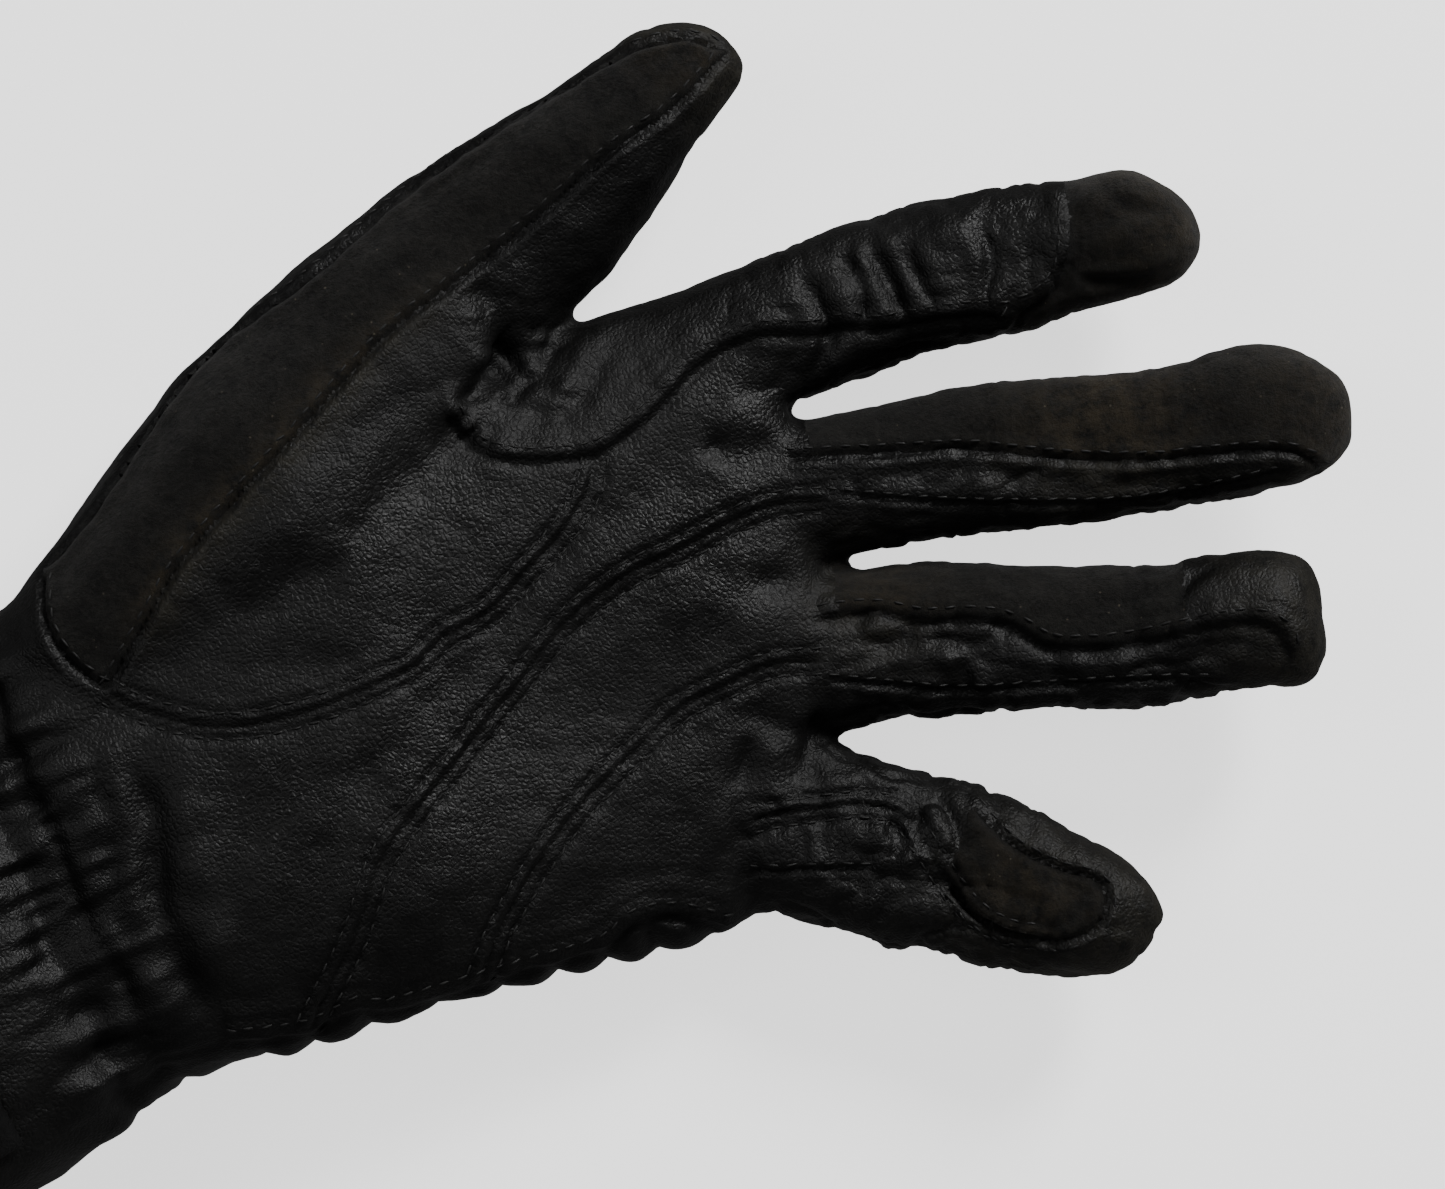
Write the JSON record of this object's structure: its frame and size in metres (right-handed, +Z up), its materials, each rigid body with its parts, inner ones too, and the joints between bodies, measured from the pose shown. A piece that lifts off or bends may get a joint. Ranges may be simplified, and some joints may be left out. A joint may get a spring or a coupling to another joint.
{
  "type": "riding glove",
  "caption": "Left-hand black leather motorcycle glove lying palm up, fingers spread, with jointed fingers and thumb, gathered wrist and a short cuff with a wrist strap.",
  "frame": {"origin": "middle of the bounding box, on the plane that the back of the glove lies on", "axes": "+X along the fingers, +Y towards the thumb side, +Z up out of the palm"},
  "size_m": [0.2527, 0.1851, 0.0498],
  "materials": {
    "palm_leather": "smooth goat leather with fine grain and soft sheen, worn",
    "back_leather": "smooth goat leather with fine grain",
    "suede": "napped suede, dusty brownish black, matt",
    "gathered_leather": "thin leather gathered over elastic",
    "binding": "turned and stitched leather hem",
    "lining": "brushed knit lining, matt",
    "hook_and_loop": "hook-and-loop tape, matt",
    "thread": "black polyester sewing thread"
  },
  "bodies": {
    "hand": {"palm_centre": "palm_leather", "palm_middle": "palm_leather", "palm_outer": "palm_leather", "thenar_panel": "palm_leather", "index_edge_panel": "palm_leather", "crotch_gusset": "palm_leather", "thumb_strip_root": "suede", "thumb_outer_side": "palm_leather", "back_panel": "back_leather", "thumb_back_root": "back_leather", "ulnar_gusset": "gathered_leather", "index_side_panel": "palm_leather", "finger_webs": "palm_leather", "wrist_elastic": "gathered_leather"},
    "index_base": {"index_base_palm": "palm_leather", "index_base_back": "back_leather", "index_base_sides": "suede"},
    "index_mid": {"index_mid_palm": "palm_leather", "index_mid_back": "back_leather", "index_mid_sides": "suede"},
    "index_tip": {"index_tip_palm": "palm_leather", "index_tip_back": "back_leather"},
    "middle_base": {"middle_base_palm": "palm_leather", "middle_base_back": "back_leather", "middle_base_sides": "suede"},
    "middle_mid": {"middle_mid_palm": "palm_leather", "middle_mid_back": "back_leather", "middle_mid_sides": "suede"},
    "middle_tip": {"middle_tip_palm": "palm_leather", "middle_tip_back": "back_leather"},
    "ring_base": {"ring_base_palm": "palm_leather", "ring_base_back": "back_leather", "ring_base_sides": "suede"},
    "ring_mid": {"ring_mid_palm": "palm_leather", "ring_mid_back": "back_leather", "ring_mid_sides": "suede"},
    "ring_tip": {"ring_tip_palm": "palm_leather", "ring_tip_back": "back_leather"},
    "little_base": {"little_base_palm": "palm_leather", "little_base_back": "back_leather", "little_base_sides": "suede"},
    "little_mid": {"little_mid_palm": "palm_leather", "little_mid_back": "back_leather", "little_mid_sides": "suede"},
    "little_tip": {"little_tip_palm": "palm_leather", "little_tip_back": "back_leather"},
    "thumb_base": {"thumb_base_strip": "suede", "thumb_base_inner": "palm_leather", "thumb_base_back": "back_leather"},
    "thumb_tip": {"thumb_tip_strip": "suede", "thumb_tip_inner": "palm_leather", "thumb_tip_back": "back_leather"},
    "cuff": {"cuff_palm": "palm_leather", "cuff_back": "back_leather", "cuff_hem": "binding", "cuff_lining": "lining", "strap_loop_patch": "hook_and_loop"},
    "strap": {"wrist_strap": "palm_leather", "strap_hook_patch": "hook_and_loop"}
  },
  "joints": [
    {"name": "index_base_bend", "type": "hinge", "parent": "hand", "child": "index_base", "pos_m": [0.03935, 0.04646, 0.0145], "axis": [0, -1, 0], "range_deg": [-8, 65]},
    {"name": "index_mid_bend", "type": "hinge", "parent": "index_base", "child": "index_mid", "pos_m": [0.0618, 0.05206, 0.0157], "axis": [0.2421, -0.9703, 0], "range_deg": [-8, 78]},
    {"name": "index_tip_bend", "type": "hinge", "parent": "index_mid", "child": "index_tip", "pos_m": [0.08179, 0.05704, 0.01858], "axis": [0.2421, -0.9703, 0], "range_deg": [-4.57, 44.47]},
    {"name": "middle_base_bend", "type": "hinge", "parent": "hand", "child": "middle_base", "pos_m": [0.04784, 0.02297, 0.0145], "axis": [0, -1, 0], "range_deg": [-8, 65]},
    {"name": "middle_mid_bend", "type": "hinge", "parent": "middle_base", "child": "middle_mid", "pos_m": [0.0756, 0.02737, 0.01596], "axis": [0.156, -0.9878, 0], "range_deg": [-8, 78]},
    {"name": "middle_tip_bend", "type": "hinge", "parent": "middle_mid", "child": "middle_tip", "pos_m": [0.10033, 0.03129, 0.01946], "axis": [0.156, -0.9878, 0], "range_deg": [-4.57, 44.47]},
    {"name": "ring_base_bend", "type": "hinge", "parent": "hand", "child": "ring_base", "pos_m": [0.05134, -0.00051, 0.0145], "axis": [0, -1, 0], "range_deg": [-8, 65]},
    {"name": "ring_mid_bend", "type": "hinge", "parent": "ring_base", "child": "ring_mid", "pos_m": [0.07619, 0.00123, 0.01579], "axis": [0.07, -0.9975, 0], "range_deg": [-8, 78]},
    {"name": "ring_tip_bend", "type": "hinge", "parent": "ring_mid", "child": "ring_tip", "pos_m": [0.09833, 0.00278, 0.01889], "axis": [0.07, -0.9975, 0], "range_deg": [-4.57, 44.47]},
    {"name": "little_base_bend", "type": "hinge", "parent": "hand", "child": "little_base", "pos_m": [0.04535, -0.02646, 0.0145], "axis": [0, -1, 0], "range_deg": [-8, 65]},
    {"name": "little_mid_bend", "type": "hinge", "parent": "little_base", "child": "little_mid", "pos_m": [0.06452, -0.03195, 0.01553], "axis": [-0.276, -0.9611, 0], "range_deg": [-8, 78]},
    {"name": "little_tip_bend", "type": "hinge", "parent": "little_mid", "child": "little_tip", "pos_m": [0.08159, -0.03685, 0.01801], "axis": [-0.276, -0.9611, 0], "range_deg": [-4.57, 44.47]},
    {"name": "thumb_base_bend", "type": "hinge", "parent": "hand", "child": "thumb_base", "pos_m": [-0.00189, 0.05705, 0.01696], "axis": [0.6441, -0.7522, -0.139], "range_deg": [-8, 18]},
    {"name": "thumb_tip_bend", "type": "hinge", "parent": "thumb_base", "child": "thumb_tip", "pos_m": [0.01397, 0.07038, 0.01841], "axis": [0.6112, -0.7793, -0.1381], "range_deg": [-8, 36]},
    {"name": "wrist_bend", "type": "hinge", "parent": "hand", "child": "cuff", "pos_m": [-0.062, -0.031, 0.019], "axis": [-0.4068, 0.9135, 0], "range_deg": [-20, 20]},
    {"name": "strap_lift", "type": "hinge", "parent": "cuff", "child": "strap", "pos_m": [-0.07451, -0.07666, 0.03996], "axis": [0.9135, 0.4068, 0], "range_deg": [0, 100]}
  ],
  "couplings": [
    {"joint": "index_tip_bend", "follows": "index_mid_bend", "ratio": 0.57},
    {"joint": "middle_tip_bend", "follows": "middle_mid_bend", "ratio": 0.57},
    {"joint": "ring_tip_bend", "follows": "ring_mid_bend", "ratio": 0.57},
    {"joint": "little_tip_bend", "follows": "little_mid_bend", "ratio": 0.57}
  ]
}
